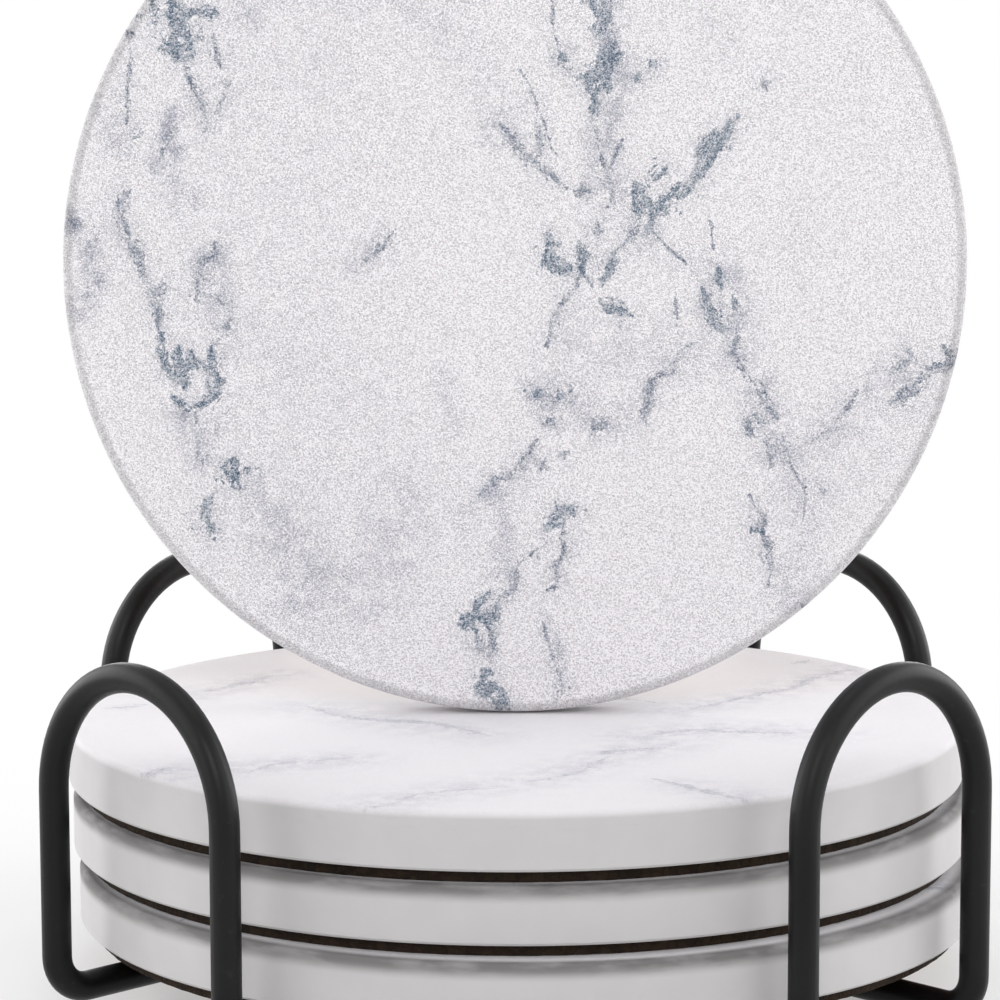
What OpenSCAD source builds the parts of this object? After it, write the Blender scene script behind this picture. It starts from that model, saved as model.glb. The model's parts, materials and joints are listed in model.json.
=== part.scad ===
// Set of round coasters in a wire holder, millimetres, +Z up.
// Origin: centre of the holder, on the surface that it stands on.
// Three coasters lie in the holder and the fourth stands on its rim on top of them.

/* [Coaster] */
// Diameter of a coaster
coaster_d = 101.6; // [86:0.2:112]
// Thickness of the ceramic disc
ceramic_t = 6.2; // [4.6:0.1:9]
// Radius that rounds the top edge of the ceramic disc
top_edge_r = 0.8; // [0.3:0.1:1.6]
// Chamfer on the bottom edge of the ceramic disc
bottom_chamfer = 0.3; // [0.1:0.05:0.8]
// Thickness of the cork pad
cork_t = 1.25; // [0.8:0.05:2.6]
// How far the cork pad stops short of the ceramic rim
cork_inset = 1.5; // [0.8:0.1:5]
// Thickness of the adhesive film between ceramic and cork
film_t = 0.15; // [0.05:0.05:0.4]
// How far the adhesive film stops short of the cork rim
film_inset = 0.5; // [0.2:0.1:3]

/* [Places of the coasters] */
// How far the middle coaster lies off the axis along X
middle_slip_x = 0.55; // [-2.5:0.05:2.5]
// How far the middle coaster lies off the axis along Y
middle_slip_y = 0.1; // [-2.5:0.05:2.5]
// How far the bottom coaster lies off the axis along X
bottom_slip_x = 2.5; // [-2.5:0.05:2.5]
// How far the bottom coaster lies off the axis along Y
bottom_slip_y = -0.7; // [-2.5:0.05:2.5]
// How far the standing coaster is set back from the axis, away from the side it faces
standing_back = 3; // [-8:0.5:12]
// Gap left where a flat face rests on a round one
seat_gap = 0.2; // [0.1:0.05:0.4]

/* [Wire holder] */
// Diameter of the coated wire
wire_d = 3.2; // [2.4:0.1:4]
// Free room between a centred coaster and the inside of an arch
side_room = 3.2; // [2.8:0.1:8]
// Distance between the centre lines of an arch's two legs
arch_w = 28; // [20:0.5:38]
// Height of an arch's centre line above the face of the top coaster
crown_rise = 11.6; // [7:0.2:20]
// Radius of the wire's centre line where a leg turns into the base
bend_r = 4; // [3:0.2:7]
// How deep the base wires are pressed into each other where they cross
weld_set = 1; // [0.4:0.1:1.2]
// How far the weld metal stands out of a crossing, beyond the wire's radius
bead_stand = 0.7; // [0.5:0.1:1]
// Length of the weld that closes each wire loop
butt_weld_l = 1; // [0.6:0.1:2]

/* [Hidden] */
$fn = 96;

wire_r = wire_d / 2;
coaster_r = coaster_d / 2;
cork_r = coaster_r - cork_inset;
film_r = cork_r - film_inset;
coaster_t = cork_t + film_t + ceramic_t;
// angles between the points that round the top edge
edge_step = 15;
// direction that the standing coaster faces, seen from above
facing = -45;

lower_rod_z = wire_r;
upper_rod_z = lower_rod_z + wire_d - weld_set;
bottom_z = upper_rod_z + wire_r + seat_gap;
middle_z = bottom_z + coaster_t;
top_z = middle_z + coaster_t;
stack_top_z = top_z + coaster_t;
standing_z = stack_top_z + seat_gap + coaster_r;

arch_r = coaster_r + side_room + wire_r;
crown_z = stack_top_z + crown_rise;
spring_z = crown_z - arch_w / 2;
rod_reach = arch_r - bend_r;
crossing_z = (lower_rod_z + upper_rod_z) / 2;
saddle_l = arch_w + 4 * wire_d;
bead_r = wire_r + bead_stand;

// The disc's profile is spun about its axis: flat face up, rounded top edge,
// small chamfer below.
module ceramic_disc() {
    rim = coaster_r - top_edge_r;
    shoulder = ceramic_t - top_edge_r;
    color("whitesmoke")
    translate([0, 0, cork_t + film_t])
    rotate_extrude()
    polygon(concat(
        [[0, 0], [coaster_r - bottom_chamfer, 0], [coaster_r, bottom_chamfer]],
        [for (a = [0 : edge_step : 90]) [rim + top_edge_r * cos(a), shoulder + top_edge_r * sin(a)]],
        [[0, ceramic_t]]
    ));
}

module adhesive_film() {
    color("goldenrod")
    translate([0, 0, cork_t])
    cylinder(r = film_r, h = film_t);
}

module cork_pad() {
    color("saddlebrown")
    cylinder(r = cork_r, h = cork_t);
}

// Each of these carries a piece of a coaster to that coaster's place.
module in_bottom() {
    translate([bottom_slip_x, bottom_slip_y, bottom_z]) children();
}

module in_middle() {
    translate([middle_slip_x, middle_slip_y, middle_z]) children();
}

module in_top() {
    translate([0, 0, top_z]) children();
}

module in_standing() {
    translate([0, 0, standing_z])
    rotate([0, 90, facing])
    translate([0, 0, -standing_back - coaster_t / 2])
    children();
}

// One closed loop of wire: an arch at each end, joined by two rods along X.
// The rod on the -Y side is open in its middle, where a weld closes the loop.
module wire_loop(rod_z) {
    foot_z = rod_z + bend_r;
    for (turn = [0, 180]) {
        rotate([0, 0, turn]) {
            translate([arch_r, 0, spring_z])
            rotate([90, 0, 90])
            rotate_extrude(angle = 180)
            translate([arch_w / 2, 0])
            circle(d = wire_d);
            for (side = [-1, 1]) {
                translate([arch_r, side * arch_w / 2, foot_z])
                cylinder(d = wire_d, h = spring_z - foot_z);
                translate([rod_reach, side * arch_w / 2, foot_z])
                rotate([-90, 0, 0])
                rotate_extrude(angle = 90)
                translate([bend_r, 0])
                circle(d = wire_d);
            }
        }
    }
    translate([-rod_reach, arch_w / 2, rod_z])
    rotate([0, 90, 0])
    cylinder(d = wire_d, h = 2 * rod_reach);
    for (start = [-rod_reach, butt_weld_l / 2]) {
        translate([start, -arch_w / 2, rod_z])
        rotate([0, 90, 0])
        cylinder(d = wire_d, h = rod_reach - butt_weld_l / 2);
    }
}

// Straight stretch of the upper loop's rods, as it lies in the lower ones.
module upper_rod_pair() {
    for (x = [-arch_w / 2, arch_w / 2]) {
        translate([x, -saddle_l / 2, upper_rod_z])
        rotate([-90, 0, 0])
        cylinder(d = wire_d, h = saddle_l);
    }
}

// Straight stretch of the lower loop's rods, turned from the same values.
module lower_rod_pair() {
    for (y = [-arch_w / 2, arch_w / 2]) {
        translate([-saddle_l / 2, y, lower_rod_z])
        rotate([0, 90, 0])
        cylinder(d = wire_d, h = saddle_l);
    }
}

module lower_wire_loop() {
    color("#2c2c2e")
    difference() {
        wire_loop(lower_rod_z);
        upper_rod_pair();
    }
}

module upper_wire_loop() {
    color("#343436")
    rotate([0, 0, 90])
    wire_loop(upper_rod_z);
}

// Metal in the corners of the four crossings.
module cross_welds() {
    color("#3c3c3e")
    difference() {
        for (x = [-arch_w / 2, arch_w / 2]) {
            for (y = [-arch_w / 2, arch_w / 2]) {
                translate([x, y, crossing_z])
                sphere(r = bead_r);
            }
        }
        lower_rod_pair();
        upper_rod_pair();
    }
}

// Flush weld in the middle of one rod of each loop.
module butt_welds() {
    color("#444446") {
        translate([-butt_weld_l / 2, -arch_w / 2, lower_rod_z])
        rotate([0, 90, 0])
        cylinder(d = wire_d, h = butt_weld_l);
        rotate([0, 0, 90])
        translate([-butt_weld_l / 2, -arch_w / 2, upper_rod_z])
        rotate([0, 90, 0])
        cylinder(d = wire_d, h = butt_weld_l);
    }
}

module bottom_ceramic_disc() { in_bottom() ceramic_disc(); }
module bottom_adhesive_film() { in_bottom() adhesive_film(); }
module bottom_cork_pad() { in_bottom() cork_pad(); }
module middle_ceramic_disc() { in_middle() ceramic_disc(); }
module middle_adhesive_film() { in_middle() adhesive_film(); }
module middle_cork_pad() { in_middle() cork_pad(); }
module top_ceramic_disc() { in_top() ceramic_disc(); }
module top_adhesive_film() { in_top() adhesive_film(); }
module top_cork_pad() { in_top() cork_pad(); }
module standing_ceramic_disc() { in_standing() ceramic_disc(); }
module standing_adhesive_film() { in_standing() adhesive_film(); }
module standing_cork_pad() { in_standing() cork_pad(); }

lower_wire_loop();
upper_wire_loop();
cross_welds();
butt_welds();
bottom_ceramic_disc();
bottom_adhesive_film();
bottom_cork_pad();
middle_ceramic_disc();
middle_adhesive_film();
middle_cork_pad();
top_ceramic_disc();
top_adhesive_film();
top_cork_pad();
standing_ceramic_disc();
standing_adhesive_film();
standing_cork_pad();
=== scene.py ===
"""Dresses a set of round ceramic coasters in a wire holder.

Three coasters lie in the holder and the fourth stands on its rim on top of them.
Sizes of the add-on are in metres. Patterns on a coaster's face are laid out in
millimetres: u to the right, v up, from the middle of the face.
"""
import json
import math
from collections import namedtuple

import bpy
import numpy as np
from mathutils import Matrix, Vector


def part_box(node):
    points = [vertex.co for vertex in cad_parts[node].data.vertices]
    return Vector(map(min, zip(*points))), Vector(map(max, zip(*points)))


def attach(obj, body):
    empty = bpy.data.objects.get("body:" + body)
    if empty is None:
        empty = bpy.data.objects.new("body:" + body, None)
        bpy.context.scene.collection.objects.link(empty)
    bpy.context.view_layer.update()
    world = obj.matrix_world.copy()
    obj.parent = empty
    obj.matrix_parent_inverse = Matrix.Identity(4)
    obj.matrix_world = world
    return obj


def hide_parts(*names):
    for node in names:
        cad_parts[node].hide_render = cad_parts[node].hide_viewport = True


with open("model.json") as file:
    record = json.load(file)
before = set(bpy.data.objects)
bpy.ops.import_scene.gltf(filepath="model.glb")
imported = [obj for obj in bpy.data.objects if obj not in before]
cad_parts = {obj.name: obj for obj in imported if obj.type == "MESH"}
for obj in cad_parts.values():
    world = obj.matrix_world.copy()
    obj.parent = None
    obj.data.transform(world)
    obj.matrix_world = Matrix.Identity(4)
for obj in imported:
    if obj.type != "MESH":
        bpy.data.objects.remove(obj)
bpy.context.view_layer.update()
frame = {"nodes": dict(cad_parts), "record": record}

bl_info = {
    "name": "Coaster set dresser",
    "version": (1, 0, 0),
    "blender": (4, 5, 0),
    "location": "3D View > Sidebar > Coasters",
    "description": "Makes the ceramic, cork and wire of a set of coasters in its holder",
    "category": "Object",
}

MM = 0.001

WIRE_LOOPS = ("lower_wire_loop", "upper_wire_loop")
WELDS = ("cross_welds", "butt_welds")

# The frame gives every size that the CAD model already fixes.
DISC_LOW, DISC_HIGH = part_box("top_ceramic_disc")
CORK_LOW, CORK_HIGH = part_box("top_cork_pad")
DISC_RADIUS = (DISC_HIGH.x - DISC_LOW.x) / 2
DISC_THICKNESS = DISC_HIGH.z - DISC_LOW.z
CORK_RADIUS = (CORK_HIGH.x - CORK_LOW.x) / 2
CORK_THICKNESS = CORK_HIGH.z - CORK_LOW.z

# The standing coaster's face, from its mount in the record.
FACE_MOUNT = next(m for m in frame["record"]["mounts"] if m["name"] == "standing_face")

# Each coaster's print: its turn about +Z in degrees, the strength of its ink, the contrast
# of its sand, the darkness of the painted shade on its upper edge, where a seam above or the
# rounding would be in shade, and the share of the radius where that starts, how far up the
# rounded edge the print begins, in millimetres, and the shift of its random patterns, so that
# no two are alike. The top one's turn faces its streaks to the camera.
Look = namedtuple("Look", "turn ink grain dusk dusk_from fade shift")
LOOKS = {
    "bottom": Look(163.0, 0.38, 0.03, 0.86, 0.955, 0.75, (31.0, 0.0, 0.0)),
    "middle": Look(-78.0, 0.38, 0.03, 0.86, 0.955, 0.75, (62.0, -17.0, 0.0)),
    "top": Look(45.3, 0.38, 0.03, 0.0, 0.98, 0.75, (93.0, -34.0, 0.0)),
    "standing": Look(0.0, 1.0, 0.33, 0.30, 0.972, 0.18, (0.0, 0.0, 0.0)),
}

# Millimetres from a vein within which its print is laid out, and a distance past all of them.
VEIN_REACH = 6.0
FAR = 99.0
# Millimetres between the points of a curve through a vein's route, and through a trail's.
VEIN_STEP = 0.5
TRAIL_STEP = 1.5
# How far the ink has run on both sides of its routes, and what is left of it at their ends.
SPREAD = {"teal": 2.1, "slate": 1.9}
END_WIDTH = 0.45
# Patterns along a vein start this much further on for each vein, and run faster over a spot.
VEIN_STRIDE = 17.0
SPOT_STRETCH = 2.5
# Density and reach of the smoke round a vein, and the half width of a vein that has all of it.
HALO_DENSITY = 0.32
HALO_REACH = 1.7
HALO_VEIN = 0.6
# A stroke of ink begins and is full at these values of its noise, which fall away from a vein.
STROKE_LOW = 0.550
STROKE_HIGH = 0.600
STROKE_THINNING = 0.06
# Each layer of veins: the sway and thickness of its lines, in millimetres, its breaks, its
# knots and its density.
VEIN_LAYERS = {"slate": (4.5, 0.18, 0.42, 0.9, 0.92), "teal": (4.0, 0.19, 0.38, 1.0, 0.96)}
# Seed of each line's wandering and its share of the sway.
VEIN_LINES = ((0.0, 0.55), (23.0, 1.0), (51.0, 1.45))
GRAINS_PER_MM = 11.0

# Name, place, size and power setting of each softbox, all aimed at the same place.
SOFTBOXES = (
    ("Top softbox", (0.0, 0.0, 1.15), 0.40, "top_watts"),
    ("Key softbox", (0.64, -0.64, 0.58), 0.40, "key_watts"),
    ("Back softbox", (-0.62, 0.62, 0.40), 0.60, "back_watts"),
    ("Right softbox", (0.78, 0.40, 0.35), 1.00, "side_watts"),
    ("Left softbox", (-0.40, -0.78, 0.35), 1.00, "side_watts"),
    ("Right rim softbox", (0.26, 0.84, 0.30), 0.70, "rim_watts"),
    ("Left rim softbox", (-0.84, -0.26, 0.30), 0.70, "rim_watts"),
)
LAMP_TARGET = (0, 0, 0.05)
# The floor keeps most of its shadow up to the first distance and is white from the second.
FLOOR_SHADOW = 0.055
FLOOR_WHITE = 0.17
WHITE = (1, 1, 1, 1)

# Veins of the standing coaster's face. Each has its half width and its route,
# in millimetres on the face; a route of one point is a spot of ink.
TEAL_VEINS = (
    # upper left tangle
    (0.75, ((-40, 29.3),)),
    (0.34, ((-38, 32), (-38, 29.5), (-37, 28.3), (-36.8, 26.8), (-36.1, 25.6), (-36.1, 23.8), (-36.4, 23.2))),
    (0.42, ((-38.3, 28.6), (-38, 26.2), (-38.4, 24.7), (-37.3, 23.8), (-36.4, 23.2))),
    (0.55, ((-38.2, 25.2), (-37.4, 24.2))),
    (0.36, ((-36.7, 28.3), (-35.2, 28.4), (-33.1, 28.4))),
    # lower left knots
    (0.34, ((-39.6, -7.4), (-39.4, -10.7), (-38, -12.2), (-37.3, -13.4))),
    (0.42, ((-37.9, -9), (-37.8, -10.7), (-36.9, -11.3), (-36.4, -9.6))),
    (0.62, ((-38, -12), (-37.2, -12.8))),
    (0.28, ((-38.7, -14.7), (-37.8, -15.3), (-37, -15.9))),
    (0.38, ((-34, -9.2), (-34, -10.7), (-33.6, -12.5), (-33.9, -14.4))),
    (0.46, ((-33.6, -13), (-34.3, -14.7), (-35.8, -15.6))),
    (0.72, ((-32.1, -21.9), (-31.8, -23.1), (-31.5, -24.6))),
    (0.42, ((-34.3, -25.8), (-35.4, -28.2))),
    (0.48, ((-34.5, -29.8),)),
    # main vein, down from the rim
    (0.40, ((3, 50.5), (4.5, 46), (5, 42), (5.6, 38.1), (6.2, 36.2))),
    (0.32, ((6.5, 36.2), (7.7, 35.9), (8.7, 35), (8.9, 33.8), (8.4, 31.8))),
    (0.28, ((6.8, 35.6), (7.1, 34), (7.5, 32.3))),
    (0.28, ((8, 35), (8.1, 32.5), (8.5, 30.5))),
    (0.30, ((8.1, 32.3), (8.9, 29.5), (9, 28.3))),
    (0.36, ((10.2, 29.3), (10.4, 27.7), (9.5, 26.8), (9.2, 25.9))),
    (0.40, ((10.4, 25.3), (10.7, 24.1), (9.5, 22.3), (8.6, 21.5), (8.4, 19.9), (9, 18.4), (8.6, 16.6))),
    (0.34, ((11.9, 23.8), (11, 22.9), (10.4, 21.7), (10.5, 19.9))),
    (0.28, ((9.6, 24.5), (10, 22), (9.4, 20))),
    (0.34, ((5.3, 23.5),)),
    (0.32, ((15.4, 22.5),)),
    (0.24, ((13.7, 21),)),
    # right branch
    (0.32, ((22.5, 15.4), (21.4, 13.6), (20.3, 11.9))),
    (0.36, ((24.9, 16.7), (23, 14), (21.2, 11), (20.2, 9.5))),
    (0.44, ((20.3, 11), (19.9, 9.3), (18.6, 8.4), (15.5, 6.4))),
    (0.50, ((16.8, 11), (15.8, 10.2))),
    (0.38, ((13.3, 9.3), (13.8, 7.5), (14, 5.8))),
    (0.28, ((14.5, 9.5), (14.6, 7.5), (15.3, 6.4), (15.3, 4.9), (14.4, 3.4))),
    # knots in the middle
    (0.34, ((7.3, 2.7), (7.5, 0.8), (7.5, -0.3))),
    (0.55, ((3.5, 3.5), (4, 1.5), (4.5, 0), (6, 0))),
    (0.36, ((11.4, 1.4), (10.5, 0), (9.9, -1.8))),
    (0.42, ((9.9, -3.6), (10.8, -4.4), (12.9, -5.3))),
    (0.48, ((2.5, -14.2),)),
    (0.44, ((5.2, -14.5),)),
    (0.66, ((6.4, -27.6), (5, -27.4), (4.3, -28.6), (3.8, -29.6))),
    # foot of the main vein
    (0.38, ((-3, -37.3), (-4, -38), (-4, -39.6), (-2.7, -39.6), (-2, -38))),
    (0.42, ((-4.7, -39.6), (-5.7, -40.6), (-4.7, -41.3))),
    (0.44, ((-3, -46), (-3.8, -46.8), (-3.8, -48), (-3, -49), (-2.7, -47.3))),
    (0.45, ((-1.9, -48.3), (-1.2, -50))),
    (0.30, ((-3.7, -48.7), (-2, -49.9), (-1, -50.3))),
    # right side
    (0.36, ((21, -2.5), (21.6, -4.6), (22.9, -6.4), (24.3, -7))),
    (0.28, ((24.6, -3.3), (24.9, -4.8))),
    (0.26, ((22.7, 0.1), (23.3, -2))),
    (0.26, ((27.1, -29.8),)),
)
SLATE_VEINS = (
    # left edge
    (0.34, ((-43.2, 8.6), (-44.3, 7.2), (-43.9, 4.6), (-43.1, 3), (-42.7, 1.3), (-42, 0.1), (-41.2, -1.4))),
    (0.26, ((-41.4, -1), (-40.6, -2.6), (-40.3, -4.1), (-39.8, -7))),
    (0.40, ((-39.6, -2.3),)),
    (0.28, ((-33.6, 2.8), (-33.7, 1.6), (-35.1, 0.4), (-35.7, -1.4), (-35.5, -3.5))),
    (0.12, ((-33.3, -3.5), (-32.4, -5.3), (-32.4, -6.2), (-33.3, -8), (-34, -9.2))),
    (0.40, ((-49.7, 5.6), (-48.8, 4.6))),
    (0.18, ((-33.4, 25.9), (-33.2, 24), (-33, 22.6))),
    (0.26, ((-36.7, 22.6), (-35.8, 20.8), (-35.2, 19), (-34.7, 17.4), (-34.6, 15.6))),
    (0.12, ((-32.2, 20.8), (-32.8, 18.3), (-33.4, 15.9))),
    (0.26, ((-32.2, 20.4),)),
    (0.26, ((-35.8, 32.5), (-35.6, 31))),
    (0.14, ((-38, 33), (-37, 32.6), (-36.2, 32.6))),
    (0.34, ((-35.2, 26),)),
    (0.32, ((-42.8, 26.2),)),
    (0.16, ((-42.8, 25.9), (-42.8, 22.6), (-43.1, 19.5), (-43.3, 16.5))),
    (0.26, ((-42.2, 15),)),
    (0.24, ((-38, 15.5), (-38.8, 14.1), (-39.7, 12))),
    (0.18, ((-36, -16.6), (-36, -17.2))),
    (0.22, ((-33.6, -17.2), (-33.5, -18.6))),
    (0.24, ((-35.1, -21.6),)),
    (0.28, ((-15, 2.5),)),
    (0.14, ((-17, 0.5), (-13.5, 4))),
    # upper middle
    (0.24, ((9.2, 15.4), (9.7, 12.5), (10, 11))),
    (0.18, ((12, 14), (11.2, 12.4), (10.3, 11))),
    (0.22, ((10.2, 10.5), (10.9, 8.4), (10.6, 7))),
    (0.28, ((3.9, 34.5), (5.3, 33.2), (6.2, 32.5), (7.2, 31))),
    (0.13, ((3.8, 34.4), (3.7, 32), (4.2, 29.2), (4.1, 27.1), (4.8, 25.3), (5.3, 23.5), (6.2, 21.7),
            (7.4, 21.3), (8, 21.7))),
    (0.14, ((11.1, 31.6), (11, 29.8))),
    (0.14, ((0.8, 21.7), (2.4, 18.4), (3, 16.6), (3.8, 14.5), (4.6, 12.8))),
    (0.24, ((2.5, 16), (3, 12.5))),
    (0.28, ((-1.5, 16), (1, 13), (3.5, 11), (5.5, 9))),
    (0.40, ((7, 8.5), (8.5, 8.5))),
    (0.28, ((28.1, 20), (27.7, 21))),
    # middle
    (0.30, ((9.5, 5.3), (9.3, 3))),
    (0.28, ((14, 4.9), (12.6, 3), (11.4, 1.4))),
    (0.24, ((7.3, 0.2), (7, -1.5), (5.5, -3.5), (4.5, -6), (3.5, -8.5))),
    (0.20, ((7.5, -0.5), (8.5, -2))),
    (0.13, ((15.5, 4), (17.5, 2), (19, 0.6))),
    (0.13, ((21.8, 4.9), (22.3, 2.3))),
    (0.13, ((18.1, -3.8), (18.1, -6.4))),
    (0.42, ((10.4, -17.2), (8.7, -18.9))),
    (0.26, ((5.8, -21), (5.2, -21.3))),
    (0.28, ((3.3, -21.9), (2.8, -22.9))),
    (0.24, ((2.4, -19.6), (1.4, -21.4), (0, -22.9), (-1.7, -23.9), (-4, -25.6))),
    (0.36, ((4, -17.5),)),
    # lower middle
    (0.14, ((4, -30.9), (2, -32.6), (0.7, -33.3), (-0.2, -33.9))),
    (0.30, ((-0.2, -33.9), (-0.2, -35.9), (-1, -36.9), (-2, -37.4))),
    (0.28, ((5.2, -29.2), (5.5, -31.9), (5, -33.9), (4.7, -35.6), (3.7, -36.9))),
    (0.12, ((3.3, -40.6), (4.3, -44.6), (5.3, -47.3))),
    (0.24, ((5.3, -47.3), (5.3, -49.3))),
    (0.32, ((-3.2, -40.6), (-2.7, -42.3), (-3, -45))),
    (0.26, ((-4.5, -41.4), (-4.3, -44))),
    # right side
    (0.24, ((24.9, -6.6), (25.1, -9.9), (26, -12), (27.3, -13.4))),
    (0.20, ((24.2, -9.8),)),
    (0.32, ((26.8, -12.9), (28.6, -15.5), (29.6, -17))),
    (0.30, ((25.7, -16.8), (26.4, -18.6), (27.3, -19.4))),
    (0.22, ((27.3, -16.7), (27.8, -17.8))),
    (0.34, ((28.1, -19.6), (28.8, -20.9), (29.1, -22.2))),
    (0.13, ((30.3, -19.4), (31.3, -22.9), (32.8, -25), (32.6, -28.4))),
    (0.24, ((34.8, -25.2),)),
    (0.24, ((33.8, -19.4),)),
    (0.26, ((19.6, -8.6), (18.1, -10.3), (17.7, -12))),
    (0.30, ((17.3, -12), (15.5, -12.9), (15.1, -15.1), (14.4, -16.8), (15.1, -17.7))),
    (0.38, ((44.5, -9.3), (44.2, -10.7), (42.3, -12))),
    (0.36, ((49.7, -9.6), (49.4, -10.8), (46.3, -11.4))),
    (0.26, ((48, -8.9), (49.2, -10))),
    (0.38, ((46.3, -12), (44.9, -13.4), (44.3, -14.5), (42.5, -15.5))),
    (0.16, ((38.3, -14.1), (37.6, -15.9), (36.2, -17.3), (34.1, -19.4))),
    (0.28, ((26.6, -26), (28, -28), (28.2, -30.1), (28.5, -32.9), (29, -34.6), (28.9, -36))),
    (0.22, ((32.7, -38.6),)),
    (0.20, ((48.5, -16.2),)),
)
# Lavender smoke round the veins: half width, density and route.
SMOKE_TRAILS = (
    (1.3, 0.55, ((-32, 38), (-31, 35), (-29.5, 28))),
    (1.6, 0.45, ((-46, 19), (-44.5, 13))),
    (1.1, 0.80, ((-38, 17.5), (-39, 14.5), (-38, 13.5), (-40, 11.5))),
    (1.4, 0.45, ((-38.5, 12), (-38, 8), (-36, 7.5))),
    (1.5, 0.70, ((-49.5, 5.5), (-48.5, 4.5), (-47.5, 2), (-47, -1), (-49, -4.5))),
    (1.3, 0.60, ((-37.5, -16.5), (-35.5, -21), (-34.5, -22))),
    (1.6, 0.50, ((-34, 1.5), (-33.5, -2), (-32.5, -6))),
    (3.2, 0.40, ((-29, -26), (-26, -31), (-23.5, -34), (-25.5, -37.5))),
    (4.2, 0.30, ((-13, -26.5), (-15, -34.5), (-18.5, -38))),
    (1.4, 0.22, ((-8, -12.5), (-7, -17.5))),
    (1.2, 0.40, ((-18, 0), (-15, 3))),
    (2.2, 0.30, ((-4.5, 38), (-3.5, 35), (-5, 31.5))),
    (1.0, 0.45, ((-1.5, 16), (-3.5, 14.5), (0, 14.5))),
    (2.0, 0.16, ((22, 28), (23.5, 24))),
    (1.5, 0.40, ((-1.5, -26), (-1, -31), (-2, -35))),
    (1.2, 0.45, ((3.5, -39), (4.5, -43), (5, -46.5))),
    (1.8, 0.50, ((6, 38), (9, 32), (11, 25), (12, 20), (10, 14), (10.5, 8))),
    (2.2, 0.42, ((24, -1), (25, -8), (28, -15), (30, -21))),
    (2.4, 0.26, ((31, -22), (33, -30), (31, -38))),
    (3.6, 0.26, ((6, -9), (12, -10), (19, -10))),
    (2.2, 0.45, ((3, -14), (7, -16), (11, -17))),
    (2.2, 0.14, ((14, 4), (18, 1), (21, 0))),
    (2.0, 0.35, ((2, -22), (-2, -25), (-5, -28))),
    (2.0, 0.35, ((44, -11), (40, -14), (36, -18))),
    (3.0, 0.18, ((-18, 33), (-8, 27), (-2, 18))),
    (2.6, 0.08, ((-30, -8), (-22, -12), (-14, -16))),
    (5.0, 0.12, ((36, -22), (42, -20), (46, -16))),
    (15.0, 0.13, ((-24, 30), (-28, 0), (-22, -30))),
)

# Faint streaks on the faces of the stacked coasters, in the same units.
STREAKS = (
    (0.40, ((-40, -34), (-39, -31.5), (-37, -29))),
    (0.28, ((-28.5, -31.5), (-26.5, -28), (-23.5, -26), (-21.5, -25), (-18, -24))),
    (0.34, ((-36.5, 13), (-34, 16), (-31, 19.5), (-29.5, 23))),
    (0.34, ((-47, 3), (-43, 5))),
    (0.24, ((-17, -49.5), (-12, -45.5), (-10.5, -42), (-5.5, -40), (-2.5, -39.5))),
    (0.24, ((1.5, -36), (5.5, -33), (8, -28.5), (10, -24))),
    (0.55, ((9.5, -22), (13, -20.5), (15, -19.5))),
    (0.32, ((14.5, -35), (19.5, -41), (21, -42.5), (24.5, -46))),
    (0.36, ((15, -12), (19.5, -10), (26, -11), (32.5, -11.5))),
    (0.40, ((20.5, 2.5), (26, 8), (29.5, 11.5), (32, 13.5), (35, 19.5), (38.5, 23.5), (41.5, 26.5))),
    (0.30, ((34, 30), (36, 32))),
    (0.40, ((-12, 48), (-9, 41), (-10, 33), (-5, 26), (-4, 17))),
    (0.32, ((-4, 26), (3, 21), (9, 12), (16, 6))),
    (0.36, ((-24, 4), (-18, -3), (-9, -6), (-3, -13))),
)
STREAK_HAZE = (
    (4.5, 0.70, ((-38, -34), (-34, -30), (-26, -28), (-18, -25))),
    (4.0, 0.65, ((-38, 11), (-33, 17), (-28, 24))),
    (5.0, 0.60, ((-14, -46), (-6, -40), (3, -34), (10, -24), (16, -18))),
    (5.0, 0.70, ((14, -13), (24, -9), (34, -12))),
    (4.5, 0.70, ((18, 1), (28, 10), (36, 20), (43, 28))),
    (4.0, 0.55, ((18, -38), (25, -46))),
    (6.0, 0.60, ((-11, 47), (-8, 34), (-3, 20), (8, 10))),
    (5.5, 0.50, ((-24, 4), (-14, -5), (-4, -12))),
)


# The kinds of setting.
def length(name, description, default):
    return bpy.props.FloatProperty(name=name, description=description, default=default, unit="LENGTH")


def amount(name, description, default):
    return bpy.props.FloatProperty(name=name, description=description, default=default)


def angle(name, description, degrees):
    return bpy.props.FloatProperty(name=name, description=description, default=math.radians(degrees),
                                   subtype="ANGLE")


def color(name, description, default):
    return bpy.props.FloatVectorProperty(name=name, description=description, default=default,
                                         subtype="COLOR", min=0, max=1)


class CeramicSettings(bpy.types.PropertyGroup):
    """Sizes and colours of the ceramic discs."""
    radius: length("Radius", "Radius of a ceramic disc", DISC_RADIUS)
    thickness: length("Thickness", "Thickness of a ceramic disc", DISC_THICKNESS)
    edge_radius: length("Edge radius", "Rounding between face and side", 0.8 * MM)
    chamfer: length("Chamfer", "Chamfer on the bottom edge", 0.3 * MM)
    steps: bpy.props.IntProperty(
        name="Steps", description="Steps of the spin about the disc's axis", default=400, min=32)
    rings: bpy.props.IntProperty(
        name="Rings", description="Rings of faces on the printed side", default=96, min=8, max=100)
    paper: color("Print ground", "White of the printed face", (0.900, 0.879, 0.905))
    teal: color("Teal ink", "Colour of the heavy veins", (0.068, 0.128, 0.200))
    slate: color("Slate ink", "Colour of the thin veins", (0.118, 0.155, 0.232))
    smoke: color("Smoke", "Colour of the haze round the veins", (0.45, 0.455, 0.53))
    bare: color("Bare ceramic", "Colour of the unprinted side", (0.635, 0.62, 0.62))
    # Grey of the scuff marks under the edge, which also paints shade there.
    scuffs: color("Scuffs", "Colour of the scuffs on the side", (0.45, 0.44, 0.46))
    # Painted shade: this colour darkens the upper edges of the coasters, standing in for the shade under the
    # seams between them.
    dust: color("Dust", "Colour of the dust on the edge", (0.10, 0.095, 0.09))


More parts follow.
